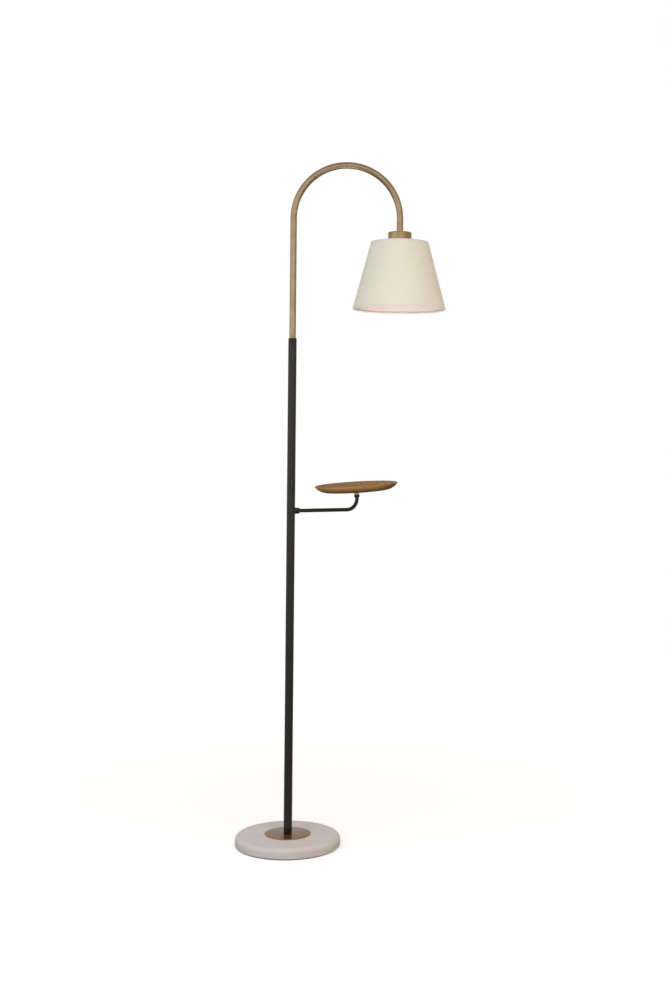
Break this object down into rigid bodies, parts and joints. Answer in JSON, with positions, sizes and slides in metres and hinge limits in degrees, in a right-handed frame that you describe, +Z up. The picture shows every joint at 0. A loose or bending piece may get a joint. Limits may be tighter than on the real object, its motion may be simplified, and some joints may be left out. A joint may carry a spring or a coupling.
{
  "type": "floor lamp with side table",
  "caption": "Floor lamp with a round stone base, straight pole, gooseneck arch, conical fabric shade and a small round wooden tray on a side arm.",
  "frame": {"origin": "centre of the underside of the base, on the floor, on the pole's axis", "axes": "+Z up the pole, +X towards the shade, +Y to the rear, where the mains inlet is"},
  "size_m": [0.5411, 0.3547, 1.7999],
  "materials": {
    "stone": "honed, pinkish beige-grey",
    "felt": "needled felt",
    "brass_satin": "satin antique brass",
    "brass_plain": "turned",
    "black_paint": "satin black powder coat",
    "zinc_steel": "bright zinc plated",
    "black_plastic": "moulded",
    "white_nylon": "moulded",
    "holder_black": "phenolic",
    "porcelain": "unglazed",
    "white_wire": "white epoxy",
    "shade_fabric": "cream linen on stiff backing",
    "hem_tape": "cream tape",
    "tray_wood": "oiled, turned",
    "opal_glass": "opal",
    "bulb_aluminium": "rolled thread",
    "bulb_black": "black glass insulator",
    "solder": "tinned",
    "lead_pvc": "flexible sheath"
  },
  "bodies": {
    "stand": {"marble_base": "stone", "base_felt": "felt", "base_disc": "brass_satin", "cable_gland": "black_plastic", "base_nipple": "zinc_steel", "clamp_washer": "zinc_steel", "clamp_nut": "zinc_steel", "pole": "black_paint", "pole_foot_plug": "zinc_steel", "pole_top_bushing": "black_paint", "swivel_washer": "white_nylon", "arm_insert": "zinc_steel", "arm_boss": "black_paint", "tray_arm": "black_paint", "stem_collar": "black_paint", "lead_lower": "lead_pvc"},
    "lamp_arm": {"gooseneck": "brass_satin", "swivel_stop_pin": "zinc_steel", "gooseneck_end_plug": "brass_plain", "head_nipple": "zinc_steel", "holder_cup": "brass_satin", "cup_lock_nut": "zinc_steel", "holder_cap": "holder_black", "holder_insulator": "porcelain", "holder_body": "holder_black", "holder_screw_shell": "brass_plain", "holder_contact": "brass_plain", "shade_ring_nut": "holder_black", "shade_skin": "shade_fabric", "shade_top_frame": "white_wire", "shade_bottom_ring": "white_wire", "shade_top_trim": "hem_tape", "shade_bottom_trim": "hem_tape", "lead_upper": "lead_pvc"},
    "table": {"tray": "tray_wood", "tray_insert": "brass_plain", "tray_spacer": "brass_plain", "tray_washer": "white_nylon"},
    "bulb": {"bulb_glass": "opal_glass", "bulb_cap": "bulb_aluminium", "bulb_insulator": "bulb_black", "bulb_contact": "solder"}
  },
  "joints": [
    {"name": "gooseneck_swivel", "type": "hinge", "parent": "stand", "child": "lamp_arm", "pos_m": [0, 0, 1.3], "axis": [0, 0, 1], "range_deg": [-135, 135]},
    {"name": "tray_swivel", "type": "hinge", "parent": "stand", "child": "table", "pos_m": [0.16814, 0.10507, 0.93135], "axis": [-0.0651, -0.0407, 0.9971], "continuous": true},
    {"name": "bulb_removal", "type": "slide", "parent": "lamp_arm", "child": "bulb", "axis": [0, 0, -1], "range_m": [0, 0.165]}
  ]
}
